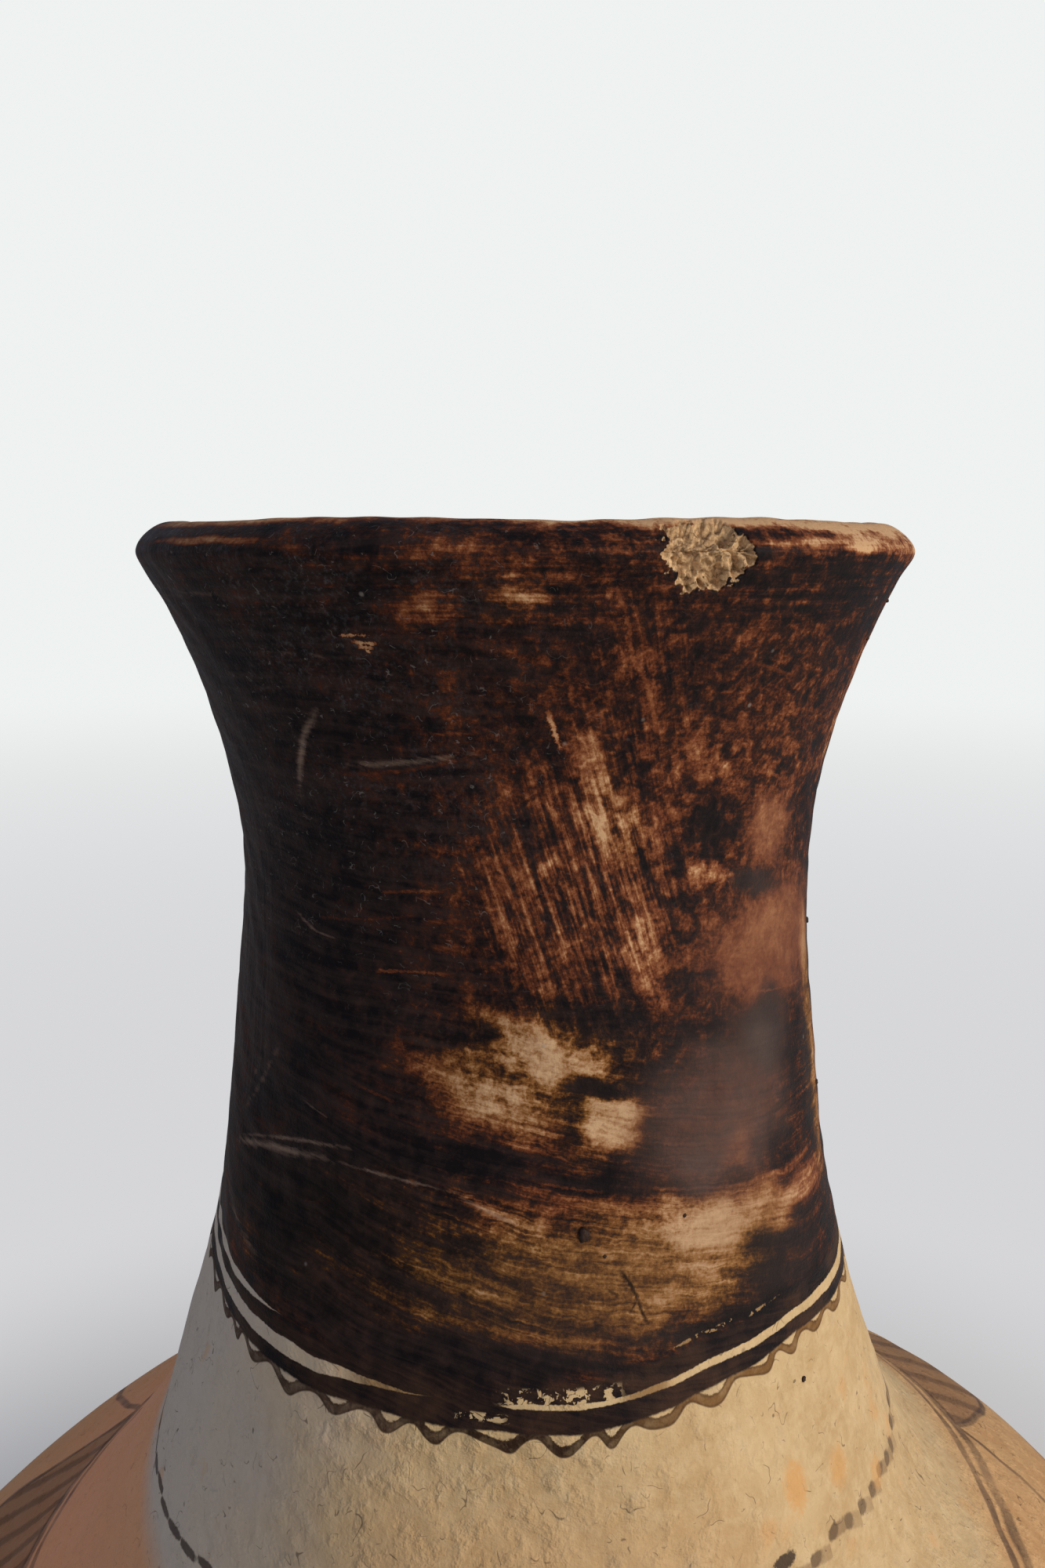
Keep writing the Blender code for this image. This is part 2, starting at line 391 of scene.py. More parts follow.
class Place:
    # where a point lies on the jar: its vector in mm, azimuth in degrees and height in mm
    def __init__(self, tree):
        start = Wire(tree).add("TexCoord", None, None, "Object")
        self.point = start.add("VectorMath", {"operation": "SCALE"}, {0: start, "Scale": 1000.0})
        split = [self.point.add("SeparateXYZ", None, {0: self.point}, i) for i in range(3)]
        self.x, self.y, self.z = split
        self.left = self.x * -1.0
        self.azimuth = self.x.math("ARCTAN2", self.y * -1.0) * (180.0 / math.pi)

    def cloud(self, size, *settings):
        return cloud(self.point, size, *settings)

    def streaks(self, length, width, heightShift, detail=3.0):
        # brush marks that run round the jar
        squeeze = width / length
        spot = joined(self.x * squeeze, self.y * squeeze, self.z + heightShift)
        return cloud(spot, width, detail, 0.6)

    def steepStreaks(self, length, width, radius, lean, detail=3.0):
        # brush marks that run down the jar and lean over as they go
        turn = (self.azimuth + self.z * lean) * (math.pi / 180.0)
        around = turn.math("SINE") * radius
        across = turn.math("COSINE") * radius
        return cloud(joined(around, across, self.z * (width / length)), width, detail, 0.6)

    def fromAzimuth(self, azimuth):
        return abs((self.azimuth - (azimuth - 180.0)).math("FLOORED_MODULO", 360.0) - 180.0)


def newFinish(name, shine=0.1):
    material = bpy.data.materials.new(name)
    material.use_nodes = True
    shader = material.node_tree.nodes["Principled BSDF"]
    shader.inputs["Specular IOR Level"].default_value = shine
    return material, shader, Place(material.node_tree)


def coat(shader, colour, rough, height, distance, strength=0.6):
    bump = height.add("Bump", None, {"Height": height, "Distance": distance, "Strength": strength})
    for socket, wire in (("Base Color", colour), ("Roughness", rough.held()), ("Normal", bump)):
        wire.tree.links.new(wire.socket, shader.inputs[socket])


def hairs(place, size, width, sparse):
    # fine broken lines, such as cracks and stray bristles
    line = abs(cloud(place, size, 2.0, 0.5, 0.4))
    where = cloud(place, size * 0.55, 1.0).over(sparse, sparse + 0.05)
    return line.under(width * 0.4, width) * where


def specks(place, size, share):
    # scattered dots in a share of the cells
    cells = {"Vector": place, "Scale": 1.0 / size}
    spot = place.add("TexVoronoi", None, cells, "Distance")
    tone = place.add("TexVoronoi", None, cells, "Color")
    chance = tone.add("SeparateColor", None, {0: tone}, 0)
    return spot.under(0.05, 0.19) * chance.over(1 - share, 1 - share * 0.6)


def creamSlip(at):
    # pale slip with rubbed stains, hair cracks and specks, shared by the collar and the shoulder
    soft = at.cloud(26, 3)
    mottle = at.cloud(5.5, 4, 0.6)
    wiped = at.steepStreaks(12, 1.6, 84, 0.15)
    pale = at.cloud(2.4, 4, 0.6, 0.5)
    colour = mixed(soft * 2.2 + 0.5, (0.59, 0.425, 0.228), (0.48, 0.315, 0.152))
    lighter = (mottle * 1.4 + wiped * 0.5 + pale * 1.4 + 0.2).held()
    colour = mixed(lighter, colour, (0.66, 0.5, 0.29))
    front = at.fromAzimuth(2).under(12, 42)
    front = front * (at.z + soft * 30).under(384, 414)
    colour = mixed(front * 0.42, colour, (0.5, 0.27, 0.115))
    # a grey-blue tint on the left of the collar and upper shoulder: painted cool shade
    coolShade = (at.azimuth * -1 + soft * 40).over(12, 62) * at.z.over(300, 345)
    coolShade = coolShade * at.fromAzimuth(-60).under(40, 80)
    colour = mixed(coolShade * 0.74, colour, (0.55, 0.5, 0.455))
    stain = (at.cloud(17, 2) + mottle * 0.5).over(0.12, 0.28)
    colour = mixed(stain * 0.5, colour, (0.6, 0.32, 0.125))
    grey = (at.cloud(9, 3, 0.6) + mottle * 0.3).over(0.08, 0.28)
    colour = mixed(grey * 0.26, colour, (0.33, 0.265, 0.18))
    dark = hairs(at.point, 9, 0.0075, 0.07).most(hairs(at.point, 5, 0.008, 0.12) * 0.8)
    dark = dark.most(specks(at.point, 4, 0.07) * 0.7).most(specks(at.point, 11, 0.06))
    colour = mixed(dark * 0.66, colour, (0.085, 0.06, 0.04))
    dents = at.cloud(6, 4, 0.6).over(-0.05, 0.22)
    return dabbed(at, colour), dark, mottle * 2 + dents * 1.6


def dabbed(at, colour):
    # the ring of dabs under the neck: a dot with a paler tail, or drawn out along the ring on the left
    grain = at.cloud(1.1, 3, 0.65)
    pitch = 360 / body["dabs"]
    cell = (at.azimuth + 180) / pitch
    number = cell.math("FLOOR")
    jitter = number.add("TexWhiteNoise", {"noise_dimensions": "1D"}, {"W": number}) - 0.5
    dotted = at.x.over(-65, -24)
    cellWidth = math.radians(pitch) * body["dabRadius"]
    across = (cell.math("FRACT") - 0.5) * cellWidth - jitter * 1.2 + dotted * 1.8
    dip = (at.x - body["dabDipFrom"]).most(0) * body["dabDip"]
    rise = at.z - at.x * body["slant"] + dip - body["dabHeight"] - jitter * 2.2
    narrow = dotted * 0.27 + 0.28 - at.x.over(48, 80) * 0.12
    dots = spanOf(across * narrow, rise * (1.2 - dotted * 0.4))
    dots = (dots + grain * 0.9).under(0.85, 1.35)
    along = ((across * 0.97 - rise * 0.24) / body["dabTail"]).held() * body["dabTail"]
    tails = spanOf((across - along * 0.97) * 0.7, rise + along * 0.24)
    tails = (tails + grain).under(1, 1.7) * (jitter * 0.7 + 0.72) * dotted
    colour = mixed(tails * 0.62, colour, (0.16, 0.088, 0.045))
    brown = mixed(at.x.over(20, 70), (0.05, 0.031, 0.026), (0.105, 0.068, 0.044))
    colour = mixed(dots * (0.86 - dotted * 0.2), colour, brown)
    for spots, core, rim, ragged, tone in (
        (body["blots"], 0.75, 1.05, 1.1, (0.04, 0.026, 0.022)),
        (body["rust"], 0.45, 1.1, 1.2, (0.62, 0.325, 0.115)),
    ):
        for azimuth, height, wide, tall, strength in spots:
            spot = spanOf(at.fromAzimuth(azimuth) / wide, (at.z - height) / tall)
            spot = (spot + grain * ragged).under(core, rim)
            colour = mixed(spot * strength, colour, tone)
    return colour


def strokeField(at, grain, strokes, ragged, soft):
    # how strongly each single stroke shows, on a line that may bow
    field = None
    for fromAz, fromZ, toAz, toZ, bow, width, amount in strokes:
        runX, runZ = (toAz - fromAz) * neckDegree, toZ - fromZ
        length = math.hypot(runX, runZ)
        dx = (at.azimuth - fromAz) * neckDegree
        dz = at.z - fromZ
        run = dx * (runX / length) + dz * (runZ / length)
        along = (run / length).held()
        across = dz * (runX / length) - dx * (runZ / length)
        middle = along * (1 - along)
        gap = spanOf(across - middle * (4 * bow), run - along * length) + grain * ragged
        thin = 1 - soft + (middle * 4).math("POWER", 0.4) * soft
        one = gap.under(width * 0.15 * (1 - soft), width * 0.75) * thin * amount
        field = one if field is None else field.most(one)
    return field


def bandMarks(at, grain):
    # the painted lines at the foot of the neck, and the toothed line under them
    waver = at.cloud(16, 2) * (2 * band["waver"])
    climb = at.fromAzimuth(42).under(6, 36) * band["climb"]
    line = at.z + waver + grain * 0.6 - climb
    # the pale gap narrows to nothing in front, where the strokes ran together
    right = at.x.over(-7, -1) * 0.36 + at.x.over(13, 72) * 0.34
    wide = at.left.over(band["gapShut"], 52).most(right)
    gap = (wide * band["gap"] - abs(line - band["gapHeight"]) * 2).over(0.15, 0.65)
    high = at.left.over(46, 68)
    flakes = at.cloud(2.6, 3, 0.7).over(0, 0.08)
    high = high.most(at.fromAzimuth(33).under(5, 15) * flakes * 0.4)
    gap = gap.most((high * band["highGap"] - abs(line - band["highGapHeight"]) * 2).over(0.15, 0.65))
    foot = at.left.over(13, 50) * 0.3 + at.x.over(8, 38) * 0.9 + band["foot"]
    paint = (line - foot).over(-0.3, 0.3) * (1 - gap)
    lines = line.under(band["strokeHead"] - 0.8, band["strokeHead"] + 0.8)
    # the toothed line
    turn = (at.azimuth + at.cloud(20, 1) * 10) / (360 / band["teeth"])
    tooth = (abs(turn.math("FRACT") - 0.5) * 2).over(0.04, 0.96)
    depth = cloud(joined(at.x, at.y, at.z * 0), 10, 0) * 2.4 + band["toothDepth"]
    depth = depth - at.fromAzimuth(0).over(8, 30) * 0.7
    off = abs(line + climb * 0.2 - foot + depth * (1 - tooth) - 0.5) * 0.82 + grain * 0.5
    teeth = off.under(band["toothWidth"] * 0.8, band["toothWidth"] * 1.15)
    rim = teeth * off.over(band["toothWidth"] * 0.35, band["toothWidth"] * 0.8)
    return paint, lines, teeth, rim


def paintNeck():
    material, shader, at = newFinish("darkNeckPaint", 0.05)
    wire = at.point
    maps = [wire.add("Attribute", {"attribute_name": name}, None, "Fac") for name in (*wearAndSheen, "chipped")]
    bareAndEdgeSheen, steep, gold, sheen, smoothAndSheen, chipped = maps
    # hand strokes run down to the right round the foot of the neck, with flecks and rubbing above them
    low = at.z.under(462, 498)
    upper = at.z.over(562, 571)
    dip = (at.x + 42).most(0) * 0.25
    sway = at.cloud(55, 1) * 9 + dip
    broken = at.cloud(4, 3, 0.6) * 2.4
    fine = at.streaks(9, 0.7, sway + broken, 4)
    hair = at.streaks(22, 0.8, sway + broken * 0.6, 4)
    wide = at.streaks(22, 3.2, sway + broken, 3)
    lipLines = at.streaks(22, 1.2, 0)
    slant = at.steepStreaks(11, 1, 66, 0.27)
    slantWide = at.steepStreaks(16, 3, 66, 0.27, 2)
    grain = at.cloud(0.8, 3, 0.65)
    clump = at.cloud(3, 4, 0.66, 0.4)
    flecks = at.cloud(3.4, 4, 0.62, 0.9)
    blot = at.cloud(11, 3, 0.6)
    flecked = at.x.over(-17, 17) * (1 - low)
    around = (fine * 0.9 + wide * 0.9) * (low * 0.4 + 0.4) + lipLines * upper * 1.1
    around = around + hair * low * (blot * 2 + 0.75)
    down = slant * 1.6 + slantWide * 0.9
    marks = around * (1 - steep * 0.8) + down * steep + clump * (1.2 - low * 0.35) + grain * 0.65
    marks = marks + flecks * flecked * (1 - steep * 0.5) * 0.8
    quiet = 1 - at.left.over(6, 48) * 0.35
    # the paint is lightened where it is rubbed off, and as painted sheen in tall bands at the right
    # edge
    ground = bareAndEdgeSheen.least(upper * 0.22 + 0.64) + 0.205 + low * 0.05 + blot * (0.5 - smoothAndSheen * 0.3)
    loss = ground + marks * (1 - smoothAndSheen * 0.74) * quiet
    crisp = gold.held() * 0.4
    loss = loss * (1 - crisp) + loss.over(0.16, 0.84) * crisp
    scratched = strokeField(at, grain, scratches, 1.7, 0.3) + clump * 0.7 + hair * 0.5
    loss = loss.most(scratched).held()
    red, golden = [
        wire.add("ValToRGB", {"stops": list(zip(paintStops["loss"], paintStops[hue]))}, {0: loss})
        for hue in ("red", "golden")
    ]
    paint = mixed(gold, red, golden)
    # a grey tint where the paint is smooth, and grey-brown patches over it: both painted sheen
    paint = mixed(smoothAndSheen * 0.16, paint, (0.13, 0.095, 0.085))
    paint = mixed(sheen * (blot * 1.2 + hair * 0.5 + 0.62), paint, (0.098, 0.066, 0.056))
    paint = mixed(strokeField(at, grain, cracks, 0.7, 0.5), paint, (0.012, 0.008, 0.006))
    # painted sheen streaks, dust that is partly painted fill light, and lint on the left, and painted
    # sheen streaked down its edge
    left = at.x.under(-26, 30)
    thick = loss.under(0.26, 0.46)
    level = at.streaks(30, 1.5, at.cloud(50, 1) * 8 + dip * low)
    # pale streaks over the thick paint, strongest on the left: painted sheen
    leftSheen = (level * 2.4 + clump * 1.4 + blot * 1.5 + 0.34).held() * thick
    leftSheen = leftSheen * (left * 0.8 + 0.2)
    paint = mixed(leftSheen * 0.66, paint, (0.052, 0.031, 0.026))
    # paler vertical streaks down the left edge of the neck: painted sheen at the silhouette
    limbSheen = at.steepStreaks(70, 1.3, 66, 0.03)
    edge = at.azimuth.within(-104, -54, 9) * at.z.over(455, 475)
    paint = mixed(edge * (limbSheen * 4.2 + 0.3).held() * 0.7, paint, (0.074, 0.05, 0.044))
    # a grey powder on the upper left: dust, and also painted fill light that brightens the shaded left
    dustAndFill = (blot * 2 + at.cloud(30, 2) * 2.2 + 0.25).held()
    dustAndFill = dustAndFill * left * at.z.over(505, 545)
    dustAndFillGrain = at.cloud(1, 4, 0.7).over(-0.02, 0.22)
    paint = mixed(dustAndFill * dustAndFillGrain * thick * 0.62, paint, (0.115, 0.108, 0.112))
    strokes = strokeField(at, grain, dustStrokes, 1.2, 1)
    swept = (strokes + hair * 2.2 + clump * 1.3 + grain * 0.8 - 0.3).held() * strokes
    paint = mixed(swept * 0.85, paint, (0.3, 0.2, 0.145))
    dots = specks(at.point, 3.4, 0.03) * (1 - smoothAndSheen)
    paint = mixed(dots * 0.4, paint, (0.34, 0.3, 0.26))
    lint = hairs(at.point, 3.2, 0.01, 0.09).most(hairs(at.point, 6, 0.006, 0.12))
    lint = lint * (left * 0.75 + 0.1) * at.z.over(480, 520)
    paint = mixed(lint * 0.42, paint, (0.26, 0.235, 0.22))
    covered, lines, teeth, rim = bandMarks(at, grain)
    slip, _, mottle = creamSlip(at)
    flaking = at.cloud(2.1, 3, 0.7, 0.6).over(0.02, 0.05)
    lowFlakes = at.fromAzimuth(-6.5).under(2.8, 4.6) * at.z.within(417, 418.7, 0.3)
    highFlakes = at.fromAzimuth(5).under(6.5, 10) * at.z.within(420.6, 423.6, 0.5)
    flaking = flaking * lowFlakes.most(highFlakes)
    brown = mixed(at.x.over(6, 40), (0.034, 0.018, 0.011), (0.19, 0.095, 0.034))
    brown = mixed(at.left.over(8, 38), brown, (0.078, 0.046, 0.03))
    slip = mixed(teeth * (0.94 + clump * 0.9).held(), slip, brown)
    slip = mixed(rim * 0.5, slip, (0.045, 0.024, 0.014))
    smudge = 1 - at.fromAzimuth(-19).over(3, 10).least(at.fromAzimuth(17.5).over(2, 5))
    smudge = smudge.most(at.z.over(424, 425) * at.x.over(11, 19)) * at.z.over(417.5, 418.5)
    slip = mixed(smudge * 0.8, slip, (0.23, 0.125, 0.046))
    thinned = (blot * 2.2 + hair * 1.4 + clump * 0.8 + 0.3).held()
    stroke = mixed(thinned * 0.7, (0.01, 0.0075, 0.0085), (0.085, 0.042, 0.024))
    paint = mixed(lines, paint, stroke)
    colour = mixed(covered * (1 - flaking), slip, paint)
    # the broken clay of the chip
    crumb = at.cloud(1.3, 5, 0.72, 1.2)
    lump = at.cloud(3.2, 2)
    clay = mixed(crumb * 3 + lump + 0.62, (0.215, 0.12, 0.058), (0.82, 0.54, 0.29))
    # dark spots in the broken clay: painted shade in its hollows
    pitShade = (at.cloud(1.7, 3, 0.6, 0.6) + lump * 0.3).over(0.1, 0.19)
    clay = mixed(pitShade * 0.7, clay, (0.075, 0.044, 0.022))
    shown = (chipped + grain * 0.3).over(0.12, 0.24)
    colour = mixed(shown, colour, clay)
    gloss = 0.44 + loss * 0.22 + grain * 0.18 + fine * 0.12
    gloss = gloss + (1 - covered) * 0.1 + shown * 0.4
    height = fine * 0.3 + grain * 0.5 + clump * 0.4 + covered * 0.12 + crumb * shown * 3
    coat(shader, colour, gloss, height + (1 - covered) * mottle * 0.8, 0.00055)
    return material


def paintBody():
    material, shader, at = newFinish("paintedSlip")
    slip, slipDark, mottle = creamSlip(at)
    grain = at.cloud(1.2, 3, 0.65)
    waver = at.cloud(34, 2) * 5
    line = at.z + waver + grain * 0.5
    level = line - at.x * body["slant"]
    # orange wash above the ring, wider on the left
    paler = (at.cloud(22, 3) * 2 + mottle * 0.8 + 0.5).held()
    warm = mixed(paler, (0.5, 0.26, 0.105), (0.6, 0.35, 0.16))
    warm = mixed(slipDark * 0.6, warm, (0.09, 0.055, 0.035))
    above = level - body["ringHeight"]
    wash = (above - (at.x * -0.42).most(0)).under(2, 14)
    salmon = at.left.over(40, 130) * (at.z.over(270, 330) * 0.55 + 0.25)
    warm = mixed(salmon, warm, (0.9, 0.355, 0.18))
    colour = mixed(wash * 0.9, slip, warm)
    # triangles that hang from the ring, with hatching between them
    step = 360 / body["wedges"]
    fromApex = at.azimuth - body["wedgeApex"]
    turn = abs((fromApex / step + 0.5).math("FLOORED_MODULO", 1) - 0.5) * step
    below = above * -1
    side = turn - below * (step * 0.5 / body["wedgeDepth"])
    inBand = below.over(0, 0.6) * (below - body["wedgeDepth"]).under(0, 0.6)
    between = side.over(-0.2, 0.2) * inBand
    other = (fromApex / (2 * step)).math("FLOORED_MODULO", 1)
    hatched = between * other.under(0.499, 0.501)
    hatch = ((fromApex + level * 0.12 + grain * 1.2) / 4.5).math("FLOORED_MODULO", 1)
    hatch = abs(hatch - 0.5).over(0.24, 0.4)
    colour = mixed(hatched * 0.66, colour, (0.25, 0.125, 0.062))
    colour = mixed(hatched * hatch * 0.5, colour, (0.085, 0.047, 0.032))
    edges = abs(side).under(0.3, 0.75) * inBand
    # rings
    lines = abs(above).under(0.7, 1.7)
    lowRing = -body["wedgeDepth"]
    for height, half in ((body["ringGap"], 1.2), (lowRing, 1.2), (lowRing - 5, 0.9)):
        lines = lines.most(abs(above - height).under(half * 0.55, half))
    # hanging lobes of cream below them
    lobeTurn = (at.azimuth + waver * 0.25) / (360 / body["lobes"])
    lobeTurn = lobeTurn.math("FLOORED_MODULO", 1) - 0.5
    drop = ((body["lobeHead"] - level) / body["lobeDepth"]).most(0)
    reach = spanOf(lobeTurn * 2.15, drop)
    hanging = level.under(body["lobeHead"], body["lobeHead"] + 1)
    colour = mixed(reach.under(0.97, 1) * hanging, colour, slip)
    outlines = abs(reach - 1).under(0.02, 0.036) * hanging
    outlines = outlines.most(abs(reach - 0.86).under(0.012, 0.024) * hanging)
    low = abs(level - body["paintFoot"]).under(1.2, 1.9)
    low = low.most(abs(level - body["paintFoot"] - 7).under(0.6, 1.1))
    marks = lines.most(outlines).most(edges).most(low)
    rubbed = (at.cloud(14, 3, 0.6) * 1.8 + 0.75).held()
    colour = mixed(marks * rubbed * 0.8, colour, (0.075, 0.045, 0.033))
    # bare clay below, with a ragged edge of slip and darker fire marks
    fired = (at.cloud(30, 4) * 2 + grain * 0.5 + 0.5).held()
    clay = mixed(fired, (0.27, 0.115, 0.056), (0.43, 0.215, 0.115))
    fire = at.cloud(120, 3).over(0.06, 0.26) * at.z.under(60, 190)
    clay = mixed(fire * 0.6, clay, (0.075, 0.045, 0.035))
    turning = at.streaks(60, 1.6, waver)
    clay = mixed((turning * 1.4 + 0.2).held() * 0.5, clay, (0.5, 0.29, 0.17))
    clay = mixed(specks(at.point, 6, 0.22) * 0.6, clay, (0.56, 0.42, 0.3))
    slipped = (level + grain * 2 - body["paintFoot"]).over(-1.5, -0.5)
    colour = mixed(slipped, clay, colour)
    gloss = 0.62 + mottle * 0.3 + grain * 0.2 - marks * 0.1
    coat(shader, colour, gloss, grain * 0.5 + mottle * 0.62 - slipDark * 0.3, 0.0007)
    return material


def rawInside():
    material, shader, at = newFinish("rawInside")
    grain = at.cloud(1.4, 4, 0.65)
    wiped = at.streaks(40, 2.2, at.cloud(40, 1) * 8)
    fired = (at.cloud(28, 3) * 1.8 + wiped * 1.2 + 0.5).held()
    colour = mixed(fired, (0.135, 0.062, 0.034), (0.3, 0.155, 0.085))
    colour = mixed(specks(at.point, 5, 0.2) * 0.5, colour, (0.45, 0.33, 0.22))
    soot = (at.cloud(45, 2) + 0.15).held() * at.z.over(330, 560)
    colour = mixed(soot, colour, (0.05, 0.03, 0.021))
    coat(shader, colour, 0.86 + grain * 0.3, grain * 0.6 + wiped * 0.6, 0.0008)
    return material


def gritFinish():
    material, shader, at = newFinish("paintedGrit")
    grain = at.cloud(0.6, 3, 0.6)
    colour = mixed(grain * 2 + 0.35, (0.012, 0.009, 0.009), (0.075, 0.04, 0.026))
    coat(shader, colour, 0.6 + grain * 0.5, grain, 0.0003, 0.5)
    return material


def outline(height):
    # radius and lean of the outer face, on a cubic between two stations
    height = np.asarray(height, float)
    rows = np.array(jar["stations"])
    i = np.clip(np.searchsorted(rows[:, 0], height, side="right") - 1, 0, len(rows) - 2)
    (lowZ, lowR, lowLean), (highZ, highR, highLean) = rows[i].T, rows[i + 1].T
    span = highZ - lowZ
    t = (height - lowZ) / span
    radius = lowR * (2 * t**3 - 3 * t**2 + 1) + highR * (3 * t**2 - 2 * t**3)
    radius = radius + lowLean * span * (t**3 - 2 * t**2 + t) + highLean * span * (t**3 - t**2)
    lean = (highR - lowR) / span * (6 * t - 6 * t**2)
    lean = lean + lowLean * (3 * t**2 - 4 * t + 1) + highLean * (3 * t**2 - 2 * t)
    return radius, lean


def outerPath(heights):
    return np.stack([outline(heights)[0], np.asarray(heights, float)], axis=1)


def innerPath(heights):
    radius, lean = outline(heights)
    back = jar["wall"] / np.hypot(1.0, lean)
    return np.stack([radius - back, np.asarray(heights, float) + back * lean], axis=1)


def runOf(path):
    # distance along the path at each point
    return np.concatenate([[0.0], np.cumsum(np.hypot(*np.diff(path, axis=0).T))])


def evenly(path, step):
    # the same path with points an even step apart
    run = runOf(path)
    at = np.linspace(0.0, run[-1], max(2, int(round(run[-1] / step)) + 1))
    return np.stack([np.interp(at, run, path[:, k]) for k in range(2)], axis=1)


def eased(path, passes):
    path = path.copy()
    for _ in range(passes):
        path[1:-1] = path[1:-1] * 0.5 + (path[:-2] + path[2:]) * 0.25
    return path


def waves(count, seed, longest, most=8):
    # random slow waves round and up the jar
    rng = np.random.default_rng(seed)
    turn = 2 * math.pi
    return [
        (int(rng.integers(1, most)), turn / rng.uniform(longest * 0.3, longest), rng.uniform(0, turn))
        for _ in range(count)
    ]


handWaves = waves(14, jar["seed"], 150.0)
dentWaves = waves(40, jar["seed"] + 1, 16.0, 52)


def rippled(azimuth, height, ripples):
    total = sum(np.cos(n * azimuth + m * height + p) for n, m, p in ripples)
    return total / math.sqrt(len(ripples))


def handMade(azimuth, height):
    # how far the hand left the wall from true, in mm
    low = np.clip((jar["bodyHead"] - height) / jar["bodyFade"], 0.0, 1.0)
    low = low * low * (3 - 2 * low)
    size = jar["handWobble"] + (jar["bellyWobble"] - jar["handWobble"]) * low
    total = rippled(azimuth, height, handWaves) * size
    total = total + rippled(azimuth, height, dentWaves) * jar["dents"]
    foot = np.clip((height - jar["footFlat"]) / jar["footFade"], 0.0, 1.0)
    return (total + jar["bellyShift"] * low * np.sin(azimuth)) * foot


def chipDepth(azimuth, along):
    # how deep the chip is at an azimuth and at a distance up the lip's section from its edge
    right = (np.degrees(azimuth) - chip["azimuth"]) * math.radians(lip["radius"])
    depth = np.zeros_like(right)
    share = np.zeros_like(right)
    near = np.argwhere((np.abs(right) < chip["reach"]) & (np.abs(along) < chip["reach"]))
    for i, j in near:
        a, b = right[i, j], along[i, j]
        turn = math.atan2(b, a)
        edge = chip["size"]
        edge += chip["ragged"] * noise.noise(Vector((math.cos(turn) * 1.6, math.sin(turn) * 1.6, 4.2)))
        edge += 1.7 * noise.noise(Vector((a * 0.5, b * 0.5, 9.0)))
        edge += noise.noise(Vector((a * 1.4, b * 1.4, 2.0)))
        inside = min(1.0, max(0.0, (edge - math.hypot(a * 0.93, b)) / 1.3))
        if inside <= 0.0:
            continue
        spot = Vector((a, b, 1.7))
        rough = sum(size * noise.noise(spot * fine) for size, fine in chip["roughness"])
        ledge = 0.5 * round(2.0 * noise.noise(spot * 0.33))
        pitRight, pitUp, pitSize = chip["pit"]
        pit = max(0.0, 1.0 - math.hypot(a - pitRight, b - pitUp) / pitSize) * 1.6
        soft = inside * inside * (3 - 2 * inside)
        depth[i, j] = soft * max(0.25, chip["depth"] + rough + ledge * 0.6 + pit)
        share[i, j] = inside
    return depth, share


def grown(path, azimuth, lift):
    # the path turned about the axis, with the surface lifted along its own normal
    step = np.gradient(path, axis=0)
    size = np.hypot(step[:, 0], step[:, 1])
    outR, outZ = step[:, 1] / size, -step[:, 0] / size
    radius = path[:, 0:1] + outR[:, None] * lift
    height = path[:, 1:2] + outZ[:, None] * lift
    across, front = radius * np.sin(azimuth), -radius * np.cos(azimuth)
    return np.stack([across, front, height + 0.0 * azimuth], axis=2)


def facing(grid):
    # the normals of a turned surface
    down = np.gradient(grid, axis=0)
    across = np.roll(grid, -1, axis=1) - np.roll(grid, 1, axis=1)
    normal = np.cross(across, down)
    return normal / np.maximum(np.linalg.norm(normal, axis=2, keepdims=True), 1e-12)


def patches(azimuth, height, spots):
    # the sum of soft-edged patches at each point
    wander = 0.9 * np.sin(height * 0.55 + azimuth * 27.0)
    wander += 0.7 * np.sin(height * 0.23 - azimuth * 31.0)
    total = np.zeros_like(height)
    for spotAz, spotZ, wide, tall, tilt, amount in spots:
        da = ((np.degrees(azimuth) - spotAz + 180.0) % 360.0 - 180.0) * neckDegree
        dz = height - spotZ + wander * min(1.0, tall / 6.0)
        c, s = math.cos(math.radians(tilt)), math.sin(math.radians(tilt))
        along, across = da * c + dz * s, dz * c - da * s
        reach = (along / (wide * neckDegree)) ** 2 + (across / tall) ** 2
        total += amount * np.exp(-np.minimum(reach, 30.0) ** 2.1)
    return total


def evenColumns(count):
    return np.linspace(-math.pi, math.pi, count, endpoint=False)


def chipColumns():
    # columns a millimetre apart, and closer across the chip
    spot = math.radians(chip["azimuth"])
    fine = chip["columnStep"] / lip["radius"]
    wide = 1.0 / lip["radius"]
    columns, at = [], -math.pi
    while at < math.pi - wide * 0.6:
        columns.append(at)
        far = max(0.0, abs(at - spot) * lip["radius"] - chip["fineReach"])
        at += min(wide, fine + far / lip["radius"] * chip["columnGrowth"])
    return np.array(columns)


def placed(name, data):
    thing = bpy.data.objects.new(name, data)
    bpy.context.scene.collection.objects.link(thing)
    return thing


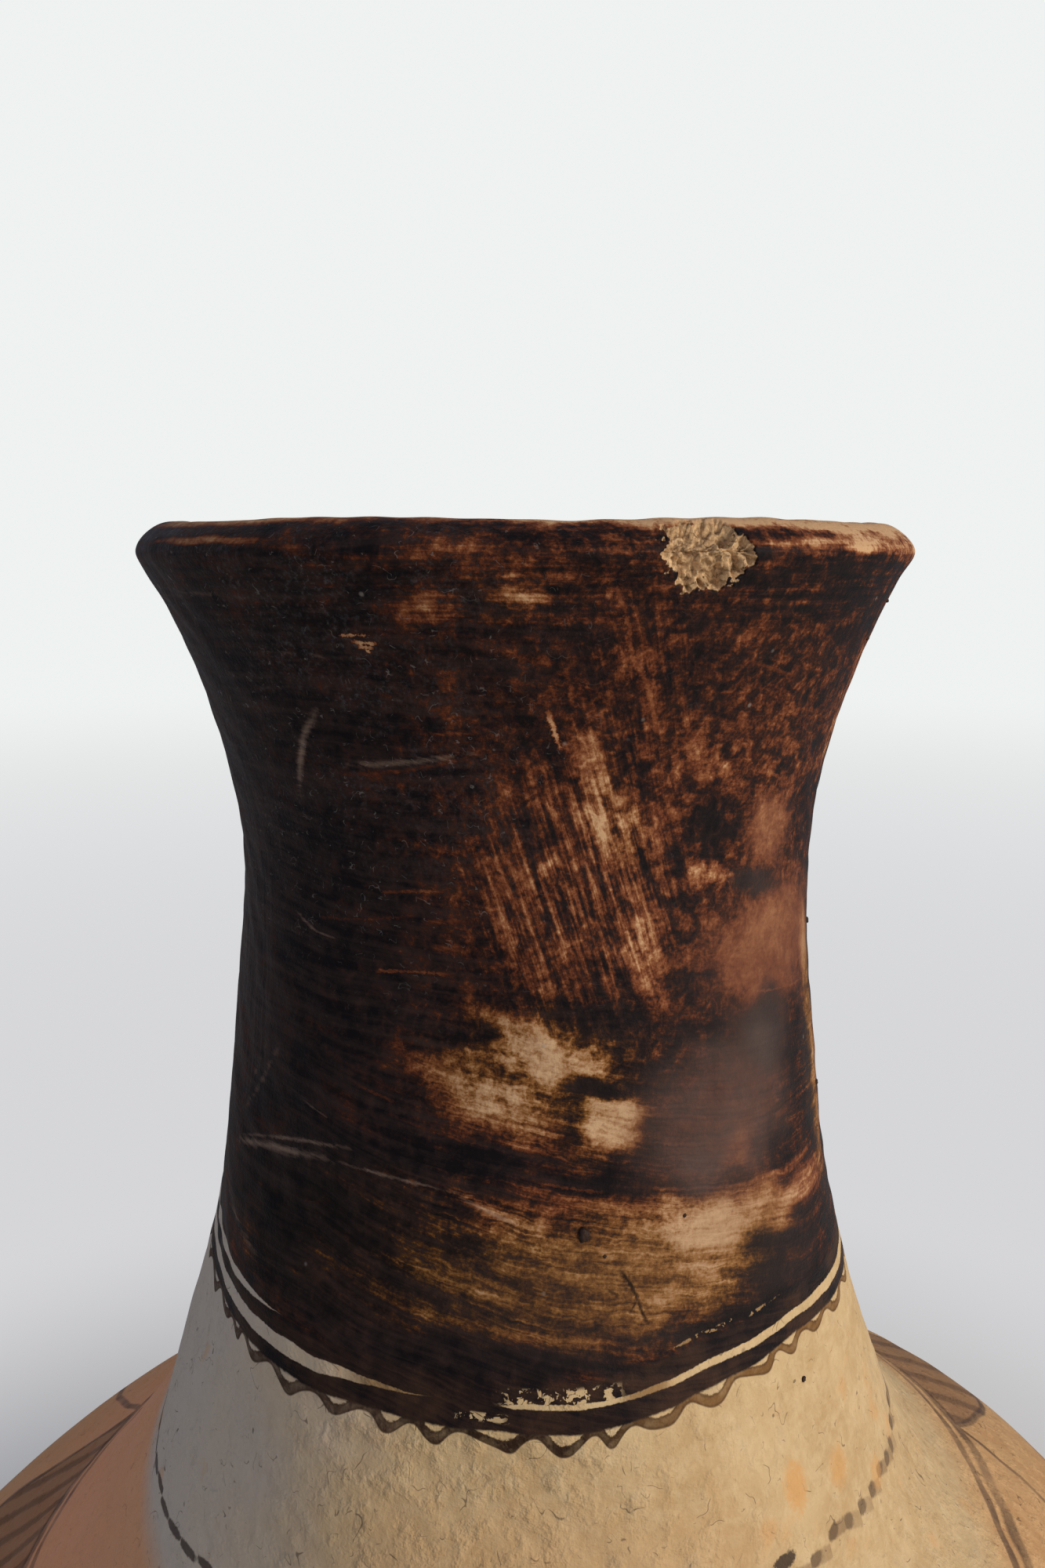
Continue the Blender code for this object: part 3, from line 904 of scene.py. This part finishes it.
def clayPiece(name, grids, shown, finishes, axisEnds=()):
    # one closed mesh from turned grids that follow each other, and end on the axis or join up
    count = grids[0][0].shape[1]
    points = np.concatenate([g.reshape(-1, 3) for g, _ in grids])
    normals = np.concatenate([n.reshape(-1, 3) for _, n in grids])
    rows = len(points) // count
    i = np.arange(rows - 1 if axisEnds else rows)
    j = np.arange(count)
    low, high = (i * count)[:, None], ((i + 1) % rows * count)[:, None]
    right = (j + 1) % count
    quads = np.stack([low + j, low + right, high + right, high + j], axis=2).reshape(-1, 4)
    faces = quads.tolist()
    slots = np.repeat([0 if shown(row) else 1 for row in i], count).tolist()
    if axisEnds:
        extra = len(points)
        points = np.concatenate([points, np.array(axisEnds)])
        normals = np.concatenate([normals, [[0, 0, -1.0], [0, 0, 1.0]]])
        last = (rows - 1) * count
        faces += [[extra, (k + 1) % count, k] for k in range(count)]
        faces += [[extra + 1, last + k, last + (k + 1) % count] for k in range(count)]
        slots += [0] * count + [1] * count
    mesh = bpy.data.meshes.new(name)
    mesh.from_pydata((points * mm).tolist(), [], faces)
    for finish in finishes:
        mesh.materials.append(finish)
    mesh.polygons.foreach_set("material_index", slots)
    mesh.polygons.foreach_set("use_smooth", [True] * len(faces))
    mesh.update()
    mesh.normals_split_custom_set_from_vertices(normals.tolist())
    return placed(name, mesh), points


def wearAndSheenMaps(piece, points, broken=None):
    azimuth = np.arctan2(points[:, 0], -points[:, 1])
    maps = {name: patches(azimuth, points[:, 2], spots) for name, spots in wearAndSheen.items()}
    maps["calmPaint"] = np.clip(maps["calmPaint"], 0.0, 1.0)
    maps["chipped"] = np.zeros(len(points)) if broken is None else broken
    for name, values in maps.items():
        layer = piece.data.attributes.new(name, "FLOAT", "POINT")
        layer.data.foreach_set("value", values.astype(np.float32))


def settle(piece, node):
    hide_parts(node)
    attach(piece, "root")


def ghosted(values):
    # the same heights with one more at each end, so that normals run on past the seams
    return np.concatenate([[2 * values[0] - values[1]], values, [2 * values[-1] - values[-2]]])


def outerGrid(heights, azimuth):
    path = outerPath(ghosted(heights))
    grid = grown(path, azimuth, handMade(azimuth[None, :], path[:, 1:2]))
    return grid[1:-1], facing(grid)[1:-1]


def innerLift(azimuth, height):
    ridge = np.sin(height * 0.52 + 1.5 * np.sin(azimuth * 2.0) + 0.6 * np.sin(azimuth * 5.0))
    return jar["fingerRidges"] * ridge - 0.6 * handMade(azimuth, height)


def innerGrid(path, azimuth, ghosts=True):
    grid = grown(path, azimuth, innerLift(azimuth[None, :], path[:, 1:2]))
    normals = facing(grid)
    return (grid[1:-1], normals[1:-1]) if ghosts else (grid, normals)


def spread(low, high, step):
    return np.linspace(low, high, max(3, int(round((high - low) / step)) + 1))


def buildCourse(node, foot, head, columns, step, finishes):
    half = jar["lap"] / 2
    azimuth = evenColumns(columns)
    onBase = foot == jar["baseSeat"]
    lowest = foot if onBase else foot - half
    _, lean = outline((foot + head) / 2)
    outer = outerGrid(spread(lowest, head - half, step / math.hypot(1.0, lean)), azimuth)
    innerFoot = foot + jar["floorCove"] if onBase else foot + half
    heights = spread(innerFoot, head + half, jar["innerStep"])
    inner = innerGrid(innerPath(ghosted(heights))[::-1], azimuth)
    grids = [outer, inner]
    if onBase:
        grids.append(coveGrid(innerPath([innerFoot])[0], azimuth))
    shownRows = len(outer[0])
    piece, points = clayPiece(node + "_clay", grids, lambda row: row < shownRows - 1, finishes)
    if node.startswith("neck"):
        wearAndSheenMaps(piece, points)
    settle(piece, node)


def seatCorner():
    return innerPath([jar["baseSeat"]])[0][0], jar["baseThickness"]


def curved(start, corner, end, count):
    # points after the start on a curve that rounds a corner
    t = np.linspace(0.0, 1.0, count + 1)[1:, None]
    return np.array(start) * (1 - t) ** 2 + np.array(corner) * 2 * t * (1 - t) + np.array(end) * t**2


def plainGrid(path, azimuth):
    grid = grown(path, azimuth, np.zeros((len(path), len(azimuth))))
    return grid, facing(grid)


def coveGrid(wallFoot, azimuth):
    # clay pressed into the corner of the floor
    corner = np.array(seatCorner())
    edge = corner - (jar["floorCove"], 0.0)
    return plainGrid(np.concatenate([curved(wallFoot, corner, edge, 6), [corner]]), azimuth)


def buildBase(finishes):
    azimuth = evenColumns(jar["baseColumns"])
    edge = jar["footEdge"]
    foot = jar["stations"][0][1]
    under = np.stack([np.linspace(2.0, foot - edge, 12), np.zeros(12)], axis=1)
    worn = curved((foot - edge, 0.0), (foot, 0.0), outerPath([edge])[0], 5)
    side = outerPath(np.linspace(edge, jar["baseSeat"], 4)[1:])
    floorEdge, floorTop = seatCorner()
    floor = np.stack([np.linspace(floorEdge, 2.0, 14), np.full(14, floorTop)], axis=1)
    outer = np.concatenate([under, worn, side])
    grids = [plainGrid(path, azimuth) for path in (outer, floor)]
    shownRows = len(outer)
    ends = ((0.0, 0.0, 0.0), (0.0, 0.0, floorTop))
    piece, _ = clayPiece("base_disc_clay", grids, lambda row: row < shownRows - 1, finishes, ends)
    settle(piece, "base_disc")


def lipSection():
    # the lip's section from its outer seam, over the edge and the mouth, to its inner seam
    half = jar["lap"] / 2
    under = outerPath(np.linspace(lip["seam"] - half - lip["step"], lip["height"], 24))
    ringOuter = lip["radius"] - lip["shoulder"]
    top = lip["height"] + lip["drop"]
    mouth = ringOuter - lip["ring"] - lip["ease"]
    turn = np.linspace(math.pi / 2, 0.0, 16)[1:]
    chord = (math.pi / 2 - turn) / (math.pi / 2)
    reach = (1 - chord) * lip["flatness"] + np.sin(turn) * (1 - lip["flatness"])
    rise = chord * lip["flatness"] + np.cos(turn) * (1 - lip["flatness"])
    shoulder = np.stack([lip["shoulder"] * reach, lip["drop"] * rise], axis=1)
    shoulder = shoulder + (ringOuter, lip["height"])
    back = turn[::-1]
    inside = (mouth, top) + lip["ease"] * np.stack([1 - np.sin(back), np.cos(back) - 1], axis=1)
    innerSeam = innerPath([lip["seam"] + half])[0]
    down = innerSeam + (innerSeam - (mouth, top - lip["ease"])) * 0.1
    whole = np.concatenate([under, shoulder, inside, [innerSeam, down]])
    whole = eased(evenly(whole, lip["step"]), lip["rounding"])
    # easing drew the edge in, so it goes out again
    edge = whole[int(np.argmax(whole[:, 0]))]
    near = np.exp(-((whole - edge) ** 2).sum(axis=1) / 5.0**2)
    whole[:, 0] += (lip["radius"] - edge[0]) * near
    return whole


def buildLip(finishes):
    azimuth = chipColumns()
    path = lipSection()
    run = runOf(path)
    edgeRow = int(np.argmax(path[:, 0]))
    along = np.repeat((run - run[edgeRow])[:, None], len(azimuth), axis=1)
    around = np.repeat(azimuth[None, :], len(path), axis=0)
    depth, share = chipDepth(around, along)
    lift = handMade(azimuth[None, :], path[:, 1:2])
    inner = np.clip((along - lip["insideFrom"]) / lip["insideFade"], 0.0, 1.0)
    lift = lift * (1 - inner) + innerLift(azimuth[None, :], path[:, 1:2]) * inner
    grid = grown(path, azimuth, lift - depth)
    normals = facing(grid)
    grid, normals = grid[1:-1], normals[1:-1]
    mouthRow = int(np.argmax(run - run[edgeRow] > lip["mouthRun"])) - 1
    piece, points = clayPiece("lip_coil_clay", [(grid, normals)], lambda row: row < mouthRow, finishes)
    wearAndSheenMaps(piece, points, share[1:-1].reshape(-1))
    settle(piece, "lip_coil")


def buildGrit(finish):
    # lumps of grit half sunk in the paint, each an uneven pebble
    points, faces = [], []
    rings, sides = grit["rings"], grit["sides"]
    for number, (azimuth, height, wide, tall) in enumerate(grit["lumps"]):
        turn = math.radians(azimuth)
        radius = float(outline(height)[0] + handMade(np.array(turn), np.array(height)))
        out = Vector((math.sin(turn), -math.cos(turn), 0.0))
        aside = Vector((math.cos(turn), math.sin(turn), 0.0))
        first = len(points)
        for i in range(rings + 1):
            polar = math.pi * i / rings
            for j in range(sides):
                spin = 2 * math.pi * j / sides
                flat = math.sin(polar)
                ball = Vector((flat * math.cos(spin), flat * math.sin(spin), math.cos(polar)))
                size = 1.0 + 0.35 * noise.noise(ball * 1.6 + Vector((number * 3.1, 0.0, 0.0)))
                at = out * (radius + ball.x * wide * 0.8 * size) + aside * (ball.y * wide * size)
                points.append(tuple((at + Vector((0.0, 0.0, height + ball.z * tall * size))) * mm))
        for i in range(rings):
            for j in range(sides):
                a, b = first + i * sides + j, first + i * sides + (j + 1) % sides
                faces.append((a, a + sides, b + sides, b))
    mesh = bpy.data.meshes.new("neck_grit")
    mesh.from_pydata(points, [], faces)
    mesh.materials.append(finish)
    piece = placed("neck_grit", mesh)
    weld = piece.modifiers.new("weld", "WELD")
    weld.merge_threshold = 0.000001
    mesh.polygons.foreach_set("use_smooth", [True] * len(faces))
    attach(piece, "root")


def buildJar():
    neck, slipped, inside = paintNeck(), paintBody(), rawInside()
    buildBase((slipped, inside))
    for part, count, foot, head, columns, step in jar["courses"]:
        seams = np.linspace(foot, head, count + 1)
        outside = neck if part == "neck" else slipped
        for number in range(count):
            node = f"{part}_course_{number + 1}"
            low, high = seams[number], seams[number + 1]
            buildCourse(node, low, high, columns, step, (outside, inside))
        print("built", part, "courses")
    buildLip((neck, inside))
    buildGrit(gritFinish())
    print("built lip and grit")


def paintFloor():
    material, shader, at = newFinish("paleFloor", 0.5)
    tree = material.node_tree
    shader.inputs["Base Color"].default_value = (*lights["floor"], 1.0)
    shader.inputs["Roughness"].default_value = 0.9
    far = spanOf(at.x, at.y)
    sky = mixed(far.over(*lights["backdropFade"]), lights["backdropLow"], lights["backdropHigh"])
    seen = far.add("LightPath", None, None, "Is Camera Ray") * far.over(*lights["floorFade"])
    glow = far.add("Emission", None, {"Color": sky})
    out = tree.nodes["Material Output"]
    surface = far.add("MixShader", None, {0: seen, 1: Wire(tree, shader.outputs[0]), 2: glow})
    tree.links.new(surface.socket, out.inputs["Surface"])
    return material


def setStage():
    mesh = bpy.data.meshes.new("floor")
    sides, reach = lights["floorSides"], lights["floorReach"]
    turns = [2 * math.pi * k / sides for k in range(sides)]
    rim = [(reach * math.cos(t), reach * math.sin(t), -lights["floorDrop"]) for t in turns]
    mesh.from_pydata(rim, [], [tuple(range(sides))])
    mesh.materials.append(paintFloor())
    floor = placed("floor", mesh)
    world = bpy.data.worlds.new("studio")
    world.use_nodes = True
    bpy.context.scene.world = world
    tree = world.node_tree
    start = Wire(tree)
    rays = start.add("LightPath", None, None, "Is Camera Ray")
    colour = mixed(rays, lights["world"], lights["backdropHigh"])
    tree.links.new(colour.socket, tree.nodes["Background"].inputs["Color"])


def setLights():
    for name in ("key", "fill"):
        lamp = bpy.data.lights.new(name, "AREA")
        lamp.shape = "DISK"
        lamp.size = lights[name + "Size"]
        lamp.energy = lights[name + "Power"]
        lamp.color = lights[name + "Colour"]
        holder = placed(name, lamp)
        holder.location = lights[name + "Place"]
        holder.rotation_mode = "QUATERNION"
        aim = Vector(lights["aim"]) - Vector(lights[name + "Place"])
        holder.rotation_quaternion = aim.to_track_quat("-Z", "Y")


def setCamera():
    data = bpy.data.cameras.new("camera")
    data.lens = view["lens"]
    data.sensor_width = view["sensor"]
    camera = placed("camera", data)
    camera.location = (view["aside"] * mm, -view["distance"] * mm, view["height"] * mm)
    camera.rotation_euler = (math.radians(90.0 - view["pitch"]), 0.0, 0.0)
    data.clip_start = 0.01
    bpy.context.scene.camera = camera


buildJar()
setStage()
setLights()
setCamera()
bpy.context.scene.view_settings.view_transform = "Standard"
print("lit and framed")
